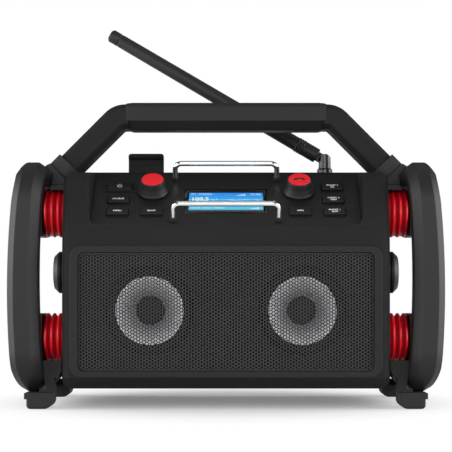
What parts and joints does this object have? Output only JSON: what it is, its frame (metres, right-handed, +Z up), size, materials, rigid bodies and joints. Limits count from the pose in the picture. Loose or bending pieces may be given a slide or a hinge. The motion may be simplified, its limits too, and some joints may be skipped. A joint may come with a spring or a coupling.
{
  "type": "jobsite radio",
  "caption": "Rugged worksite radio: speaker box hung on rubber bellows between two side guards, with a carrying handle, sloping control panel, swivelling antenna and rear hatches.",
  "frame": {"origin": "on the floor under the middle of the object", "axes": "+X to the right seen from the front, +Y to the back, +Z up"},
  "size_m": [0.4426, 0.2173, 0.4097],
  "materials": {
    "guard_plastic": "moulded polypropylene, fine grain",
    "shell_plastic": "moulded ABS, fine texture",
    "panel_plastic": "moulded ABS, satin",
    "bezel_plastic": "moulded ABS, fine texture",
    "grille_steel": "perforated steel, black powder coat",
    "handle_paint": "aluminium tube, black powder coat",
    "grip_rubber": "moulded rubber",
    "collar_plastic": "glass-filled nylon",
    "foot_rubber": "moulded rubber",
    "bellows_rubber": "red silicone rubber, satin",
    "buffer_rubber": "moulded rubber",
    "flap_rubber": "moulded rubber",
    "screw_steel": "zinc-plated steel",
    "rod_chrome": "polished chrome",
    "knob_plastic": "moulded ABS, satin",
    "button_red": "moulded red ABS",
    "key_rubber": "silicone rubber keys",
    "window_glass": "clear acrylic",
    "display_lit": "backlit liquid crystal, lit blue",
    "circuit_board": "glass-epoxy board",
    "baffle_board": "painted fibreboard",
    "speaker_steel": "pressed steel and ferrite",
    "speaker_rubber": "butyl rubber surround",
    "cone_silver": "silver-coated polypropylene cone",
    "battery_wrap": "shrink-wrapped cells",
    "whip_rubber": "rubber-sleeved whip",
    "antenna_steel": "turned nickel-plated brass"
  },
  "bodies": {
    "cage": {"guard_left": "guard_plastic", "guard_right": "guard_plastic", "bellows_bolts": "screw_steel", "bellows_lower_left": "bellows_rubber", "bellows_lower_right": "bellows_rubber", "bellows_upper_left": "bellows_rubber", "bellows_upper_right": "bellows_rubber", "foot_front_left": "foot_rubber", "foot_front_right": "foot_rubber", "foot_rear_left": "foot_rubber", "foot_rear_right": "foot_rubber", "handle_tube": "handle_paint", "handle_grip": "grip_rubber", "handle_collar_left": "collar_plastic", "handle_collar_right": "collar_plastic", "handle_bracket_left": "collar_plastic", "handle_bracket_right": "collar_plastic"},
    "chassis": {"front_shell": "shell_plastic", "rear_shell": "shell_plastic", "shell_screws": "screw_steel", "grille_bezel": "bezel_plastic", "grille": "grille_steel", "speaker_baffle": "baffle_board", "speaker_basket_left": "speaker_steel", "speaker_basket_right": "speaker_steel", "speaker_surround_left": "speaker_rubber", "speaker_surround_right": "speaker_rubber", "control_panel": "panel_plastic", "display_window": "window_glass", "display_module": "display_lit", "panel_guard_lower": "rod_chrome", "panel_guard_upper": "rod_chrome", "guard_ferrules": "buffer_rubber", "control_board": "circuit_board", "side_buffer_left": "buffer_rubber", "side_buffer_right": "buffer_rubber", "amplifier_board": "circuit_board", "battery_pack": "battery_wrap", "socket_plate": "panel_plastic", "antenna_base": "panel_plastic"},
    "cone_left": {"speaker_cone_left": "cone_silver"},
    "cone_right": {"speaker_cone_right": "cone_silver"},
    "dial_left": {"knob_left": "knob_plastic"},
    "dial_right": {"knob_right": "knob_plastic"},
    "button_left": {"knob_button_left": "button_red"},
    "button_right": {"knob_button_right": "button_red"},
    "push_power": {"key_power": "key_rubber"},
    "push_left_middle": {"key_left_middle": "key_rubber"},
    "push_left_bottom": {"key_left_bottom": "key_rubber"},
    "push_under_left_knob": {"key_under_left_knob": "key_rubber"},
    "push_under_right_knob": {"key_under_right_knob": "key_rubber"},
    "push_right_top": {"key_right_top": "key_rubber"},
    "push_right_middle": {"key_right_middle": "key_rubber"},
    "push_right_bottom": {"key_right_bottom": "key_rubber"},
    "door": {"battery_door": "shell_plastic"},
    "latch": {"door_latch": "shell_plastic"},
    "flap": {"socket_flap": "flap_rubber"},
    "yoke": {"antenna_yoke": "antenna_steel"},
    "whip": {"antenna_whip": "whip_rubber"}
  },
  "joints": [
    {"name": "suspension", "type": "slide", "parent": "cage", "child": "chassis", "axis": [0, 0, 1], "range_m": [-0.004, 0.004], "stiffness_N_per_m": 20000, "springref_m": 0.0019, "deforming": ["bellows_lower_left", "bellows_lower_right", "bellows_upper_left", "bellows_upper_right"]},
    {"name": "cone_left_stroke", "type": "slide", "parent": "chassis", "child": "cone_left", "axis": [0, -1, 0], "range_m": [-0.0015, 0.0015], "stiffness_N_per_m": 300, "deforming": ["speaker_surround_left"]},
    {"name": "cone_right_stroke", "type": "slide", "parent": "chassis", "child": "cone_right", "axis": [0, -1, 0], "range_m": [-0.0015, 0.0015], "stiffness_N_per_m": 300, "deforming": ["speaker_surround_right"]},
    {"name": "dial_left_turn", "type": "hinge", "parent": "chassis", "child": "dial_left", "pos_m": [-0.076, -0.05284, 0.22207], "axis": [0, -0.6031, 0.7977], "continuous": true},
    {"name": "button_left_press", "type": "slide", "parent": "chassis", "child": "button_left", "axis": [0, 0.6031, -0.7977], "range_m": [0, 0.001], "stiffness_N_per_m": 500, "springref_m": -0.0004},
    {"name": "dial_right_turn", "type": "hinge", "parent": "chassis", "child": "dial_right", "pos_m": [0.076, -0.05284, 0.22207], "axis": [0, -0.6031, 0.7977], "continuous": true},
    {"name": "button_right_press", "type": "slide", "parent": "chassis", "child": "button_right", "axis": [0, 0.6031, -0.7977], "range_m": [0, 0.001], "stiffness_N_per_m": 500, "springref_m": -0.0004},
    {"name": "key_power_press", "type": "slide", "parent": "chassis", "child": "push_power", "axis": [0, 0.6031, -0.7977], "range_m": [0, 0.0008], "stiffness_N_per_m": 400, "springref_m": -0.0004},
    {"name": "key_left_middle_press", "type": "slide", "parent": "chassis", "child": "push_left_middle", "axis": [0, 0.6031, -0.7977], "range_m": [0, 0.0008], "stiffness_N_per_m": 400, "springref_m": -0.0004},
    {"name": "key_left_bottom_press", "type": "slide", "parent": "chassis", "child": "push_left_bottom", "axis": [0, 0.6031, -0.7977], "range_m": [0, 0.0008], "stiffness_N_per_m": 400, "springref_m": -0.0004},
    {"name": "key_under_left_knob_press", "type": "slide", "parent": "chassis", "child": "push_under_left_knob", "axis": [0, 0.6031, -0.7977], "range_m": [0, 0.0008], "stiffness_N_per_m": 400, "springref_m": -0.0004},
    {"name": "key_under_right_knob_press", "type": "slide", "parent": "chassis", "child": "push_under_right_knob", "axis": [0, 0.6031, -0.7977], "range_m": [0, 0.0008], "stiffness_N_per_m": 400, "springref_m": -0.0004},
    {"name": "key_right_top_press", "type": "slide", "parent": "chassis", "child": "push_right_top", "axis": [0, 0.6031, -0.7977], "range_m": [0, 0.0008], "stiffness_N_per_m": 400, "springref_m": -0.0004},
    {"name": "key_right_middle_press", "type": "slide", "parent": "chassis", "child": "push_right_middle", "axis": [0, 0.6031, -0.7977], "range_m": [0, 0.0008], "stiffness_N_per_m": 400, "springref_m": -0.0004},
    {"name": "key_right_bottom_press", "type": "slide", "parent": "chassis", "child": "push_right_bottom", "axis": [0, 0.6031, -0.7977], "range_m": [0, 0.0008], "stiffness_N_per_m": 400, "springref_m": -0.0004},
    {"name": "door_swing", "type": "hinge", "parent": "chassis", "child": "door", "pos_m": [-0.0912, 0.096, 0.0698], "axis": [-1, 0, 0], "range_deg": [0, 100]},
    {"name": "latch_swing", "type": "hinge", "parent": "chassis", "child": "latch", "pos_m": [-0.0912, 0.096, 0.238], "axis": [1, 0, 0], "range_deg": [0, 20], "stiffness_Nm_per_rad": 0.3, "springref_deg": -8.59},
    {"name": "flap_swing", "type": "hinge", "parent": "chassis", "child": "flap", "pos_m": [0.09, 0.096, 0.0888], "axis": [1, 0, 0], "range_deg": [0, 110], "stiffness_Nm_per_rad": 0.02, "springref_deg": -11.46},
    {"name": "antenna_swivel", "type": "hinge", "parent": "chassis", "child": "yoke", "pos_m": [0.11, 0.0525, 0.256], "axis": [0, 0, 1], "range_deg": [-180, 0]},
    {"name": "antenna_tilt", "type": "hinge", "parent": "yoke", "child": "whip", "pos_m": [0.11, 0.0525, 0.2643], "axis": [0, 1, 0], "range_deg": [-23, 59.6]}
  ]
}
